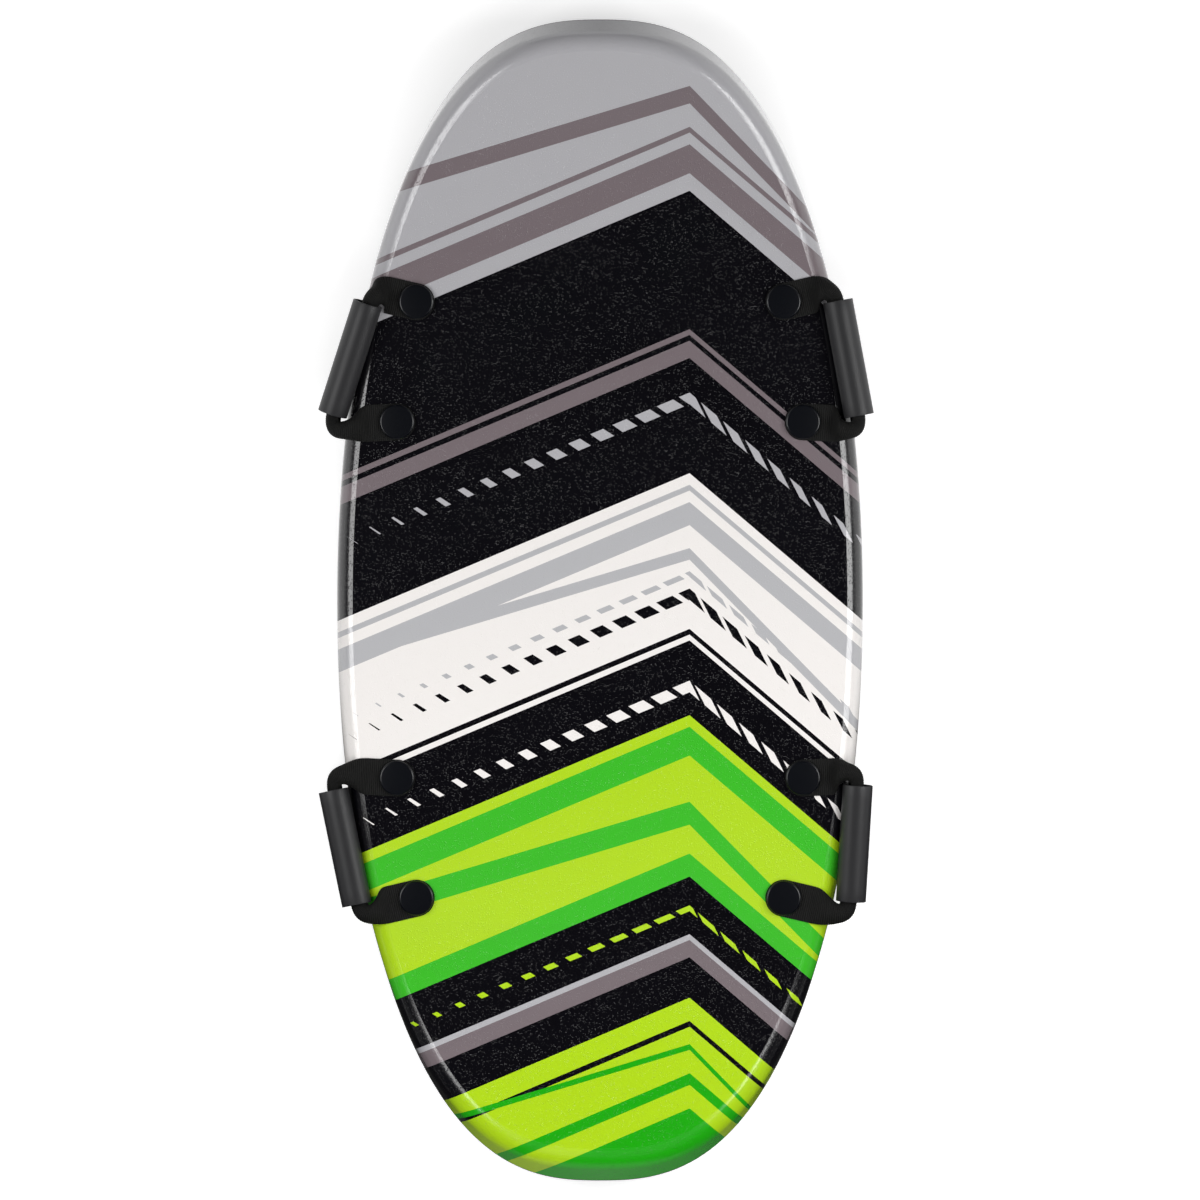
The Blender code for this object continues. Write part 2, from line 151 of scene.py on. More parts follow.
board = dict(
    length=1.100,
    width=0.500,
    thickness=0.045,
    crossPower=2.63,  # the outline is a superellipse with fuller sides than an ellipse
    longPower=2.0,
    flatLength=0.612,  # the flat middle, between the curled tips
    tipRise=0.058,
    shoulderWidth=0.0152,  # over which the deck rolls into the rail
    shoulderBreak=12,  # degrees that the deck breaks downwards at the pressed crease
    chineRadius=0.0035,
    filmThickness=0.0010,
    slickThickness=0.0015,
    wave=0.00012,  # how far the soft foam's deck swells and sinks
    waveScale=9,  # swells in a metre
    outlineSteps=90,  # in a quarter of the outline
    fineSteps=2000,  # in the same quarter, to measure along it
    shoulderSteps=14,
    chineSteps=8,
    acrossSteps=28,
    sharpAngle=11,  # degrees, just under the crease's own, which so stays crisp
)
flatEnd = board["flatLength"] / 2
tipRun = board["length"] / 2 - flatEnd
rockerRadius = (tipRun**2 + board["tipRise"] ** 2) / (2 * board["tipRise"])
shoulderRadius = board["shoulderWidth"] / (1 - math.sin(math.radians(board["shoulderBreak"])))
shoulderDrop = shoulderRadius * math.cos(math.radians(board["shoulderBreak"]))


# where the curled board has a point of the flat one
def bend(x, along, height):
    angle = max(abs(along) - flatEnd, 0.0) / rockerRadius
    if angle == 0:
        return Vector((x, along, height))
    y = flatEnd + (rockerRadius - height) * math.sin(angle)
    return Vector((x, math.copysign(y, along), rockerRadius - (rockerRadius - height) * math.cos(angle)))


# half the board's width at a place along it, seen from above
def halfWidth(y):
    share = max(1 - abs(y / (board["length"] / 2)) ** board["longPower"], 0.0)
    return board["width"] / 2 * share ** (1 / board["crossPower"])


# how far along the curled underside such a place is
def alongUnderside(y):
    past = max(y - flatEnd, 0.0)
    return min(y, flatEnd) + rockerRadius * math.asin(past / (rockerRadius - board["chineRadius"]))


# the outline of the flat board, in even steps
def boardOutline():
    dense = []
    for i in range(board["fineSteps"] + 1):
        turn = math.pi / 2 * i / board["fineSteps"]
        x = board["width"] / 2 * max(math.cos(turn), 0.0) ** (2 / board["crossPower"])
        y = board["length"] / 2 * math.sin(turn) ** (2 / board["longPower"])
        dense.append((x, alongUnderside(y)))
    dense = np.array(dense)
    runs = np.concatenate(([0], np.cumsum(np.hypot(*np.diff(dense, axis=0).T))))
    wanted = np.linspace(0, runs[-1], board["outlineSteps"] + 1)
    xs, ys = np.interp(wanted, runs, dense[:, 0]), np.interp(wanted, runs, dense[:, 1])
    quarter = [Vector(point) for point in zip(xs, ys)]
    half = quarter + [Vector((-point.x, point.y)) for point in reversed(quarter[:-1])]
    return half + [Vector((point.x, -point.y)) for point in reversed(half[1:-1])]


# a round stretch of a profile, as insets from the outline and heights; angles are in degrees
def arc(radius, inset, height, start, end, steps):
    turns = [math.radians(start + (end - start) * i / steps) for i in range(steps + 1)]
    return [(inset - radius * math.cos(turn), height + radius * math.sin(turn)) for turn in turns]


# the rounded edges of the deck and of the underside, at a depth inside the board's skin
def shoulder(depth):
    middle = board["thickness"] - shoulderDrop
    end = 90 - board["shoulderBreak"]
    return arc(shoulderRadius - depth, shoulderRadius, middle, 0, end, board["shoulderSteps"])


def chine(depth):
    radius = board["chineRadius"]
    return arc(radius - depth, radius, radius, -90, 0, board["chineSteps"])


# a sheet that follows the board: its profile runs round the outline, and the face that closes the
# profile's last ring may swell
def boardLayer(name, profile, material, wave=0.0):
    outline = boardOutline()
    count = len(outline)
    normals = []
    for i in range(count):
        along = outline[(i + 1) % count] - outline[i - 1]
        normals.append(Vector((-along.y, along.x)).normalized())
    verts, faces, starts, flat = [], [], [], []
    for inset, height in profile:
        starts.append(len(verts))
        for point, normal in zip(outline, normals):
            moved = point + normal * inset
            flat.append((moved.x, moved.y, height))
            verts.append(bend(*flat[-1]))
    joinRings(faces, starts, count)
    quarter, steps, scale = board["outlineSteps"], board["acrossSteps"], board["waveScale"]
    for start in (starts[0], starts[-1]):  # strips from rail to rail close both rings
        rows = []
        for i in range(-quarter, quarter + 1):
            a, b = start + i % count, start + (2 * quarter - i) % count
            if a == b:
                rows.append([a] * (steps + 1))
                continue
            row = [a]
            x, along, height = flat[a]
            for k in range(1, steps):
                side = 1 - 2 * k / steps
                swell = 0.0
                if start == starts[-1]:
                    swell = wave * (1 - side**4) * noise.noise(Vector((x * side * scale, along * scale, 0)))
                row.append(len(verts))
                verts.append(bend(x * side, along, height + swell))
            rows.append(row + [b])
        for low, high in zip(rows, rows[1:]):
            for k in range(steps):
                face = list(dict.fromkeys((low[k], low[k + 1], high[k + 1], high[k])))
                if len(face) > 2:
                    faces.append(face)
    return addMesh(name, verts, faces, material, board["sharpAngle"])


# the film's made-up print: bands that bend like arrowheads along the board, rows of ticks that thin out
# towards the rails, and slender wedges over them
ink = dict(
    black="#07060B",
    pale="#B2B1B5",
    warm="#786D71",
    mid="#B7B7BA",
    white="#F2EEEB",
    lime="#B0D819",
    green="#3ABB24",
    leaf="#1DA90E",
    clear=None,
)
art = dict(
    pointX=0.085,  # the line that the arrowheads point along, right of the middle
    leftSlope=0.42,
    rightSlope=0.85,
    wedgeLeft=0.30,
    wedgeRight=1.02,
    low=-0.70,  # where along the board the print starts and ends
    high=0.70,
    tickLean=0.9,
    tickPitch=0.021,
    tickWidth=0.78,  # of the pitch, on the arrowheads' line
    tickThinning=2.4,  # how much of it is lost in a metre away from that line
)
# millimetres along the board where each colour starts, at the arrowheads' points
bands = [
    (-700, "leaf"), (-482, "lime"), (-462, "leaf"), (-452, "lime"), (-408, "black"), (-402, "lime"),
    (-382, "black"), (-344, "warm"), (-326, "pale"), (-320, "black"), (-264, "green"), (-244, "lime"),
    (-150, "green"), (-124, "lime"), (-114, "black"), (-42, "white"), (-37, "black"), (-29, "white"),
    (66, "mid"), (90, "white"), (102, "mid"), (107, "white"), (116, "black"), (226, "warm"),
    (242, "black"), (248, "warm"), (253, "black"), (386, "pale"), (404, "warm"), (428, "pale"),
    (438, "warm"), (443, "pale"),
]
tickRows = [
    (-700, "clear"), (-300, "lime"), (-291, "clear"), (-90, "white"), (-79, "clear"), (-71, "lime"),
    (-66, "clear"), (0, "black"), (9, "clear"), (18, "mid"), (23, "clear"), (184, "pale"), (195, "clear"),
]
wedges = [
    (-700, "clear"), (-432, "leaf"), (-424, "clear"), (-214, "green"), (-196, "clear"), (34, "mid"),
    (46, "clear"), (470, "warm"), (484, "clear"),
]
beading = dict(
    size=0.0014,  # near 1 mm on the real film; drawn coarser so that it shows at this size
    reach=0.36,  # of a bead's dome from its middle, as a share of that size
    flatShare=0.30,  # of the beads, which have no dome
    dish=0.08,  # how much the film dips away from a bead's middle
    height=0.00033,
)


# distance along the board, with the slopes of the arrowheads on both sides of their points
def addArrows(tree, axes, fromPoint, left, right):
    one = addNode(tree, "ShaderNodeMath", {1: right}, {0: fromPoint.outputs[0]}, operation="MULTIPLY")
    other = addNode(tree, "ShaderNodeMath", {1: -left}, {0: fromPoint.outputs[0]}, operation="MULTIPLY")
    drop = addNode(
        tree, "ShaderNodeMath", links={0: one.outputs[0], 1: other.outputs[0]}, operation="MAXIMUM"
    )
    return addNode(tree, "ShaderNodeMath", links={0: axes.outputs["Y"], 1: drop.outputs[0]}, operation="ADD")


# the colours of the stops along that distance, with no colour where the ink is clear
def addInks(tree, along, stops):
    share = addNode(
        tree,
        "ShaderNodeMapRange",
        {"From Min": art["low"], "From Max": art["high"]},
        {"Value": along.outputs[0]},
    )
    ramp = addNode(tree, "ShaderNodeValToRGB", links={"Fac": share.outputs[0]})
    spread = art["high"] - art["low"]
    colours = [linear(ink[name]) if ink[name] else (0, 0, 0, 0) for _, name in stops]
    places = [(mm / 1000 - art["low"]) / spread for mm, _ in stops]
    setRamp(ramp.color_ramp, list(zip(places, colours)), "CONSTANT")
    return ramp


# 1 inside a tick and 0 outside; the ticks slant, and thin out away from the arrowheads' line
def addTicks(tree, axes, fromPoint, along):
    lean = addNode(
        tree,
        "ShaderNodeMath",
        {1: art["tickLean"]},
        {0: along.outputs[0], 2: axes.outputs["X"]},
        operation="MULTIPLY_ADD",
    )
    pitch = addNode(
        tree, "ShaderNodeMath", {1: 1 / art["tickPitch"]}, {0: lean.outputs[0]}, operation="MULTIPLY"
    )
    share = addNode(tree, "ShaderNodeMath", links={0: pitch.outputs[0]}, operation="FRACT")
    away = addNode(tree, "ShaderNodeMath", links={0: fromPoint.outputs[0]}, operation="ABSOLUTE")
    width = addNode(
        tree,
        "ShaderNodeMath",
        {1: -art["tickThinning"], 2: art["tickWidth"]},
        {0: away.outputs[0]},
        operation="MULTIPLY_ADD",
    )
    return addNode(
        tree, "ShaderNodeMath", links={0: share.outputs[0], 1: width.outputs[0]}, operation="LESS_THAN"
    )


def printedFilm():
    # satin polyethylene film, printed and laminated hot onto the foam: flat colours under a shine
    # that breaks into glints on the bead pattern pressed through from the foam
    finish = {"Roughness": 0.20, "IOR": 1.5, "Coat Weight": 0.6, "Coat Roughness": 0.14}
    made, tree, shader = newMaterial("printedFilm", ink["white"], finish)
    place = addNode(tree, "ShaderNodeTexCoord").outputs["Object"]
    axes = addNode(tree, "ShaderNodeSeparateXYZ", links={0: place})
    fromPoint = addNode(
        tree, "ShaderNodeMath", {1: art["pointX"]}, {0: axes.outputs["X"]}, operation="SUBTRACT"
    )
    along = addArrows(tree, axes, fromPoint, art["leftSlope"], art["rightSlope"])
    base = addInks(tree, along, bands)
    rows = addInks(tree, along, tickRows)
    alongWedges = addArrows(tree, axes, fromPoint, art["wedgeLeft"], art["wedgeRight"])
    slender = addInks(tree, alongWedges, wedges)
    ticks = addTicks(tree, axes, fromPoint, along)
    ticked = addNode(
        tree, "ShaderNodeMath", links={0: ticks.outputs[0], 1: rows.outputs["Alpha"]}, operation="MULTIPLY"
    )
    wedged = addNode(  # the colour sockets of a Mix node are 6, 7 and output 2
        tree,
        "ShaderNodeMix",
        links={0: slender.outputs["Alpha"], 6: base.outputs["Color"], 7: slender.outputs["Color"]},
        data_type="RGBA",
    )
    printed = addNode(
        tree,
        "ShaderNodeMix",
        links={0: ticked.outputs[0], 6: wedged.outputs[2], 7: rows.outputs["Color"]},
        data_type="RGBA",
    )
    tree.links.new(printed.outputs[2], shader.inputs["Base Color"])
    beads = addNode(tree, "ShaderNodeTexVoronoi", {"Scale": 1 / beading["size"]}, {"Vector": place})
    cone = addNode(
        tree,
        "ShaderNodeMapRange",
        {"From Min": 0.0, "From Max": beading["reach"], "To Min": 1.0, "To Max": 0.0},
        {"Value": beads.outputs["Distance"]},
    )
    chance = addNode(tree, "ShaderNodeSeparateColor", links={0: beads.outputs["Color"]})
    proud = addNode(
        tree,
        "ShaderNodeMapRange",
        {"From Min": beading["flatShare"], "From Max": 1.0},
        {"Value": chance.outputs[0]},
    )
    dome = addNode(
        tree, "ShaderNodeMath", links={0: cone.outputs[0], 1: proud.outputs[0]}, operation="MULTIPLY"
    )
    height = addNode(
        tree,
        "ShaderNodeMath",
        {1: -beading["dish"]},
        {0: beads.outputs["Distance"], 2: dome.outputs[0]},
        operation="MULTIPLY_ADD",
    )
    bump = addNode(
        tree,
        "ShaderNodeBump",
        {"Strength": 1.0, "Distance": beading["height"]},
        {"Height": height.outputs[0]},
    )
    tree.links.new(bump.outputs["Normal"], shader.inputs["Normal"])
    tree.links.new(bump.outputs["Normal"], shader.inputs["Coat Normal"])
    return made


def slickSheet():
    # extruded high-density polyethylene: deep black, waxy shine with faint draw lines
    made, tree, shader = newMaterial("slickPolyethylene", "#101013", {"Roughness": 0.26, "IOR": 1.54})
    drawLine = (1 / 0.003, 1 / 0.09, 1 / 0.003)  # lines 3 mm apart that keep on for 90 mm
    place = addNode(tree, "ShaderNodeTexCoord").outputs["Object"]
    stretched = addNode(tree, "ShaderNodeMapping", {"Scale": drawLine}, {"Vector": place})
    lines = addNode(
        tree, "ShaderNodeTexNoise", {"Scale": 1.0, "Detail": 3.0}, {"Vector": stretched.outputs[0]}
    )
    rough = addNode(
        tree, "ShaderNodeMapRange", {"To Min": 0.20, "To Max": 0.36}, {"Value": lines.outputs["Fac"]}
    )
    tree.links.new(rough.outputs[0], shader.inputs["Roughness"])
    bump = addNode(
        tree, "ShaderNodeBump", {"Strength": 0.5, "Distance": 0.00008}, {"Height": lines.outputs["Fac"]}
    )
    tree.links.new(bump.outputs["Normal"], shader.inputs["Normal"])
    return made


def beadFoam():
    # expanded polyethylene: off-white welded beads, no shine
    made, tree, shader = newMaterial("expandedFoam", "#E6E5E0", {"Roughness": 0.88, "IOR": 1.5})
    place = addNode(tree, "ShaderNodeTexCoord").outputs["Object"]
    beads = addNode(tree, "ShaderNodeTexVoronoi", {"Scale": 1 / 0.004}, {"Vector": place})  # 4 mm beads
    bump = addNode(
        tree, "ShaderNodeBump", {"Strength": 0.6, "Distance": 0.0005}, {"Height": beads.outputs["Distance"]}
    )
    tree.links.new(bump.outputs["Normal"], shader.inputs["Normal"])
    return made


# the rivets' places, and the holes for them


rivet = dict(
    radius=0.0165,
    height=0.0036,
    edgeRound=0.0020,
    crown=0.0004,
    footBevel=0.0003,  # of the cap where it meets the webbing
    postRadius=0.0045,
    postBevel=0.001,
    postGap=0.001,  # between the post's end and the base
    baseThickness=0.0025,
    baseRecess=0.0004,  # from the underside
    baseBevel=0.0006,
    sleeveWall=0.0018,
    sleeveEnd=0.011,  # how far below the deck the base's sleeve ends
    inset=0.048,  # from the outline to the middle of a cap
    toCurl=0.0065,  # from the outer cap's edge to where the tip starts to curl
    spacing=0.114,
    filmCut=(0.035, 0.055),  # heights between which the film and the slick sheet are cut
    slickCut=(-0.005, 0.005),
    sides=72,
    edgeSteps=10,
    crownSteps=6,
)
# side and end of the board for each handle: 1 is right and front
corners = dict(front_right=(1, 1), front_left=(-1, 1), rear_left=(-1, -1), rear_right=(1, -1))


def capPlaces(corner):
    across, along = corner
    outerY = flatEnd - rivet["radius"] - rivet["toCurl"]
    places = []
    for y in (outerY - rivet["spacing"], outerY):
        places.append(Vector((across * (halfWidth(y) - rivet["inset"]), along * y)))
    return places


# round holes through a sheet, one under each rivet
def cutHoles(piece, radius, low, high):
    bm = bmesh.new()
    for corner in corners.values():
        for place in capPlaces(corner):
            bmesh.ops.create_cone(
                bm,
                cap_ends=True,
                segments=rivet["sides"],
                radius1=radius,
                radius2=radius,
                depth=high - low,
                matrix=Matrix.Translation((place.x, place.y, (low + high) / 2)),
            )
    mesh = bpy.data.meshes.new("holes")
    bm.to_mesh(mesh)
    bm.free()
    cutter = bpy.data.objects.new("holes", mesh)
    bpy.context.scene.collection.objects.link(cutter)
    cut = piece.modifiers.new("holes", "BOOLEAN")
    cut.operation, cut.solver, cut.object = "DIFFERENCE", "EXACT", cutter
    whole = bpy.data.meshes.new_from_object(piece.evaluated_get(bpy.context.evaluated_depsgraph_get()))
    piece.modifiers.clear()
    piece.data = whole
    whole.set_sharp_from_angle(angle=math.radians(board["sharpAngle"]))
    bpy.data.objects.remove(cutter)
    bpy.data.meshes.remove(mesh)


filmLow = board["chineRadius"] + gap
filmEdge = [(board["filmThickness"], filmLow), (0, filmLow)]
filmProfile = shoulder(board["filmThickness"])[::-1] + filmEdge + shoulder(0)
slickProfile = chine(board["slickThickness"]) + chine(0)[::-1]
deckFilm = boardLayer("deckFilm", filmProfile, printedFilm(), board["wave"])
slickBottom = boardLayer("slickBottom", slickProfile, slickSheet())
cutHoles(deckFilm, rivet["postRadius"] + gap, *rivet["filmCut"])
cutHoles(slickBottom, rivet["radius"] + gap, *rivet["slickCut"])
for piece, node, slotName in ((deckFilm, "deck_film", "film"), (slickBottom, "slick_bottom", "slick")):
    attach(piece, "board")
    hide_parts(node)
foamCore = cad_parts["foam_core"]
foamCore.data.materials.clear()
foamCore.data.materials.append(beadFoam())
print("board made")


# where a handle sits


strap = dict(
    width=0.035,
    thickness=0.0018,
    edgeShare=0.3,  # of the thickness that is left at the selvedge
    edgePower=12,  # how suddenly the webbing thins towards it
    flexOffset=0.004,  # from the cap's edge to the flex line
    flexFrom=-0.002,  # the webbing bends from here to there, outwards from the flex line
    flexTo=0.008,
    lead=0.006,  # straight webbing outside the flex line
    rise=0.06,  # how steeply it leaves the deck
    lag=1.35,  # how far the far edge trails the near edge round the corner
    ease=0.0017,  # how far bends are evened out along the strap
    easeFrom=0.036,  # and where that starts, from each end
    easeOver=0.006,  # and over how much it fades in
    ribPitch=0.0020,
    ribHeight=0.00014,
    threadPitch=0.0012,
    threadShare=0.35,  # how strongly the threads and the fuzz show beside the ribs
    fuzzSize=0.0009,
    fuzzShare=0.8,
    underside=0.01,  # how far off its fuzz is read, so that it differs from the upper side's
    rowStep=0.00035,
    acrossSteps=22,
    roundSteps=30,  # sections of the round end behind the cap, of the flat run and of the corner
    flatSteps=40,
    cornerSteps=160,
    roundTip=0.03,  # of the width that is left at the round end's tip
    leastArch=0.01,  # radians
    sharpAngle=60,
    curlRadius=0.008,  # of the webbing inside the grip's mouth
    curlToBore=0.0004,  # clear of the bore
    curlInGrip=0.002,  # how far it reaches in
    rimRoom=0.0012,  # clear of the rim
    # lean in degrees away from straight outwards, roll in degrees round the bore, how far the far edge
    # runs on before it turns, and how far it stands out of the mouth
    lays=dict(
        inner=dict(lean=12, roll=100, runOn=2.2, standOut=1.0),
        outer=dict(lean=4, roll=60, runOn=2.5, standOut=0.9),
    ),
)
grip = dict(
    length=0.111,
    radius=0.01425,
    wall=0.0020,
    rimRound=0.0006,
    rimTurns=(0.5, 1.0, 1.5),  # radians round the rim at which it has points
    mouthDepth=0.012,  # from the rim to the first ring of the straight tube
    toShoulder=0.0008,  # clear of the rail's shoulder
    sag=0.002,  # how far below the deck its middle may hang
    sides=96,
    poses=dict(  # reach out from the line of the caps, slide along it and yaw in degrees
        front_right=(0.0520, -0.0050, -1.4),
        front_left=(0.0533, 0.0055, 8.7),
        rear_left=(0.0590, -0.0005, -2.5),
        rear_right=(0.0578, 0.0045, -5.8),
    ),
)
webLevel = board["thickness"] + gap + strap["thickness"] / 2
capLevel = webLevel + strap["thickness"] / 2 + gap
flexDistance = rivet["radius"] + strap["flexOffset"]
boreRadius = grip["radius"] - grip["wall"]


# midway between a handle's two caps: X points away from the board, Z up
def capFrame(corner):
    inner, outer = capPlaces(corner)
    line = (outer - inner).normalized().to_3d()
    if line.y * corner[0] < 0:
        line = -line
    made = Matrix((line.cross(up), line, up)).transposed().to_4x4()
    made.translation = ((inner + outer) / 2).to_3d() + up * webLevel
    return made


# the same on the line where the webbing flexes
def flexFrame(corner):
    return capFrame(corner) @ Matrix.Translation((flexDistance, 0, 0))


# which end of a handle's line, 1 or -1, is nearer the board's middle
def innerEnd(corner):
    return -corner[0] * corner[1]


# height above the deck of a grip's middle line, where the grip leans on the rail's shoulder
def restHeight(point):
    step = 0.001
    slope = (halfWidth(point.y + step) - halfWidth(point.y - step)) / (2 * step)
    outside = (abs(point.x) - halfWidth(point.y)) / math.hypot(1, slope)
    reach = shoulderRadius + grip["radius"] + grip["toShoulder"]
    beside = outside + shoulderRadius
    return max(math.sqrt(max(reach**2 - beside**2, 0.0)) - shoulderDrop, -grip["sag"])


# middle and direction of a grip, seen from its handle's flex line
def gripLine(handle):
    reach, slide, yaw = grip["poses"][handle]
    lean = math.radians(yaw)
    low, middle, high = [
        Vector((reach + d * math.sin(lean), slide + d * math.cos(lean), 0))
        for d in (-grip["length"] / 2, 0, grip["length"] / 2)
    ]
    for place in (low, middle, high):
        place.z = board["thickness"] + restHeight(capFrame(corners[handle]) @ place) - webLevel
    middle.z = max(middle.z, (low.z + high.z) / 2)
    return middle - Vector((flexDistance, 0, 0)), (high - low).normalized()


# webbing


def wovenWebbing():
    # woven polypropylene: loose black threads that hardly shine, with ribs across the strap and fainter lines
    # of thread along it;
    # its colour is painted shade, darker in the grooves and lighter on rib and thread tops, mixed with random
    # tone from the fuzz
    finish = {"Roughness": 0.80, "IOR": 1.5, "Specular IOR Level": 0.22}
    made, tree, shader = newMaterial("wovenWebbing", "#101010", finish)
    lay = addNode(tree, "ShaderNodeAttribute", attribute_name="strapLay").outputs["Vector"]
    axes = addNode(tree, "ShaderNodeSeparateXYZ", links={0: lay})
    waves = []
    for axis, pitch in (("X", strap["ribPitch"]), ("Y", strap["threadPitch"])):
        turn = addNode(
            tree, "ShaderNodeMath", {1: math.tau / pitch}, {0: axes.outputs[axis]}, operation="MULTIPLY"
        )
        waves.append(addNode(tree, "ShaderNodeMath", links={0: turn.outputs[0]}, operation="COSINE"))
    rib, thread = waves
    weave = addNode(
        tree,
        "ShaderNodeMath",
        {1: strap["threadShare"]},
        {0: thread.outputs[0], 2: rib.outputs[0]},
        operation="MULTIPLY_ADD",
    )
    fuzz = addNode(
        tree, "ShaderNodeTexNoise", {"Scale": 1 / strap["fuzzSize"], "Detail": 2.0}, {"Vector": lay}
    )
    height = addNode(
        tree,
        "ShaderNodeMath",
        {1: strap["fuzzShare"]},
        {0: fuzz.outputs["Fac"], 2: weave.outputs[0]},
        operation="MULTIPLY_ADD",
    )
    bump = addNode(
        tree, "ShaderNodeBump", {"Strength": 0.7, "Distance": 0.00012}, {"Height": height.outputs[0]}
    )
    tree.links.new(bump.outputs["Normal"], shader.inputs["Normal"])
    # painted shade: the colour darkens in the grooves between ribs and threads and lightens on their tops,
    # mixed with random fuzz tone
    level = addNode(
        tree, "ShaderNodeMapRange", {"From Min": -1.0, "From Max": 2.0}, {"Value": height.outputs[0]}
    )
    paintedShadeAndFuzz = addNode(tree, "ShaderNodeValToRGB", links={"Fac": level.outputs[0]})
    setRamp(paintedShadeAndFuzz.color_ramp, [(0.0, linear("#040404")), (1.0, linear("#20201F"))], "LINEAR")
    tree.links.new(paintedShadeAndFuzz.outputs["Color"], shader.inputs["Base Color"])
    return made


# a point of the smooth curve from a to b, which leaves and arrives with the given pulls
def curveBetween(a, leaving, b, arriving, t):
    start = a * (1 + 2 * t) + leaving * t
    finish = b * (3 - 2 * t) - arriving * (1 - t)
    return start * (1 - t) ** 2 + finish * t**2


# half the angle of the arc whose chord is the given share of its length, found by halving
def archAngle(share):
    low, high = 0.0, math.pi
    for _ in range(40):
        middle = (low + high) / 2
        if math.sin(middle) > share * middle:
            low = middle
        else:
            high = middle
    return low


# points across the webbing and its normals there, arched so that it keeps its width
def archedSection(near, far, along, end):
    chord = far - near
    half = max(archAngle(min(chord.length / strap["width"], 1.0)), strap["leastArch"])
    radius = strap["width"] / (2 * half)
    wide = chord.normalized()
    top = along.cross(wide).normalized() * end
    centre = (near + far) / 2 - top * radius * math.cos(half)
    points = []
    for i in range(strap["acrossSteps"] + 1):
        turn = half * (2 * i / strap["acrossSteps"] - 1)
        normal = top * math.cos(turn) + wide * math.sin(turn)
        points.append((centre + normal * radius, normal))
    return points


# the same where the webbing lies flat
def flatSection(middle, edge):
    steps = strap["acrossSteps"]
    return [(middle + edge * (2 * i / steps - 1), up) for i in range(steps + 1)]


# one half of a handle's webbing, from behind the cap to inside the grip; end is 1 or -1 along the handle
def endSections(handle, end):
    corner = corners[handle]
    lay = strap["lays"]["inner" if end == innerEnd(corner) else "outer"]
    lean, roll = math.radians(lay["lean"]), math.radians(lay["roll"])
    half = strap["width"] / 2
    inner, outer = capPlaces(corner)
    capOffset = (outer - inner).length / 2
    start = Vector((0, end * (capOffset + flexDistance * math.tan(lean)), 0))
    heading = Vector((math.cos(lean), end * math.sin(lean), 0))
    lead = start + heading * strap["lead"]
    edge = up.cross(heading) * half * end
    middle, axis = gripLine(handle)
    outlet = axis * end
    outboard = outlet.cross(up).normalized() * end
    upward = (up - outlet * outlet.z).normalized()
    mouth = middle + outlet * grip["length"] / 2
    curlAngle = strap["width"] / (2 * strap["curlRadius"])
    curlShift = boreRadius - strap["curlToBore"] - strap["thickness"] / 2 - strap["curlRadius"]
    curl = mouth - outlet * strap["curlInGrip"] - outboard * curlShift
    nearStop, farStop = [  # where the webbing's edges end, just inside the mouth
        curl + (outboard * math.sin(turn) + upward * math.cos(turn)) * strap["curlRadius"]
        for turn in (roll - curlAngle, roll + curlAngle)
    ]
    rising = heading + up * strap["rise"]
    nearStart, farStart = lead - edge, lead + edge
    rim = mouth - outboard * grip["radius"]  # where the near edge rounds the grip's rim
    rim += (outlet - outboard).normalized() * (strap["thickness"] / 2 + strap["rimRoom"])
    rim.z = (nearStart.z + nearStop.z) / 2
    nearPull, rimPull = (rim - nearStart).length, (nearStop - rim).length
    farPull = (farStop - farStart).length
    pastRim = (outlet + outboard).normalized()

    def nearEdge(t):
        if t < 0.5:
            return curveBetween(nearStart, rising * nearPull, rim, pastRim * nearPull, 2 * t)
        return curveBetween(rim, pastRim * nearPull, nearStop, -outlet * rimPull * 2, 2 * t - 1)

    def farEdge(t):
        leaving, arriving = rising * farPull * lay["runOn"], -outlet * farPull * lay["standOut"]
        return curveBetween(farStart, leaving, farStop, arriving, t ** strap["lag"])

    def turningSection(t):
        step = 0.01
        before, after = max(t - step, 0), min(t + step, 1)
        along = nearEdge(after) - nearEdge(before) + farEdge(after) - farEdge(before)
        return archedSection(nearEdge(t), farEdge(t), along, end)

    capMiddle = Vector((-flexDistance, end * capOffset, 0))
    sections = []
    for k in range(1, strap["roundSteps"] + 1):
        back = math.cos(math.pi / 2 * k / strap["roundSteps"])
        wide = math.sin(math.pi / 2 * k / strap["roundSteps"])
        sections.append(flatSection(capMiddle - heading * half * back, edge * max(wide, strap["roundTip"])))
    steps = strap["flatSteps"]
    sections += [flatSection(capMiddle.lerp(lead, k / steps), edge) for k in range(1, steps + 1)]
    steps = strap["cornerSteps"]
    sections += [turningSection(k / steps) for k in range(1, steps + 1)]
    return sections


# the mean of each row and its neighbours, so that the webbing bends without kinks
def eased(rows):
    reach = int(3 * strap["ease"] / strap["rowStep"])
    weights = np.exp(-((np.arange(-reach, reach + 1) * strap["rowStep"] / strap["ease"]) ** 2) / 2)
    padded = np.concatenate((rows[:1].repeat(reach, axis=0), rows, rows[-1:].repeat(reach, axis=0)))
    total = sum(weight * padded[i : i + len(rows)] for i, weight in enumerate(weights))
    return total / weights.sum()


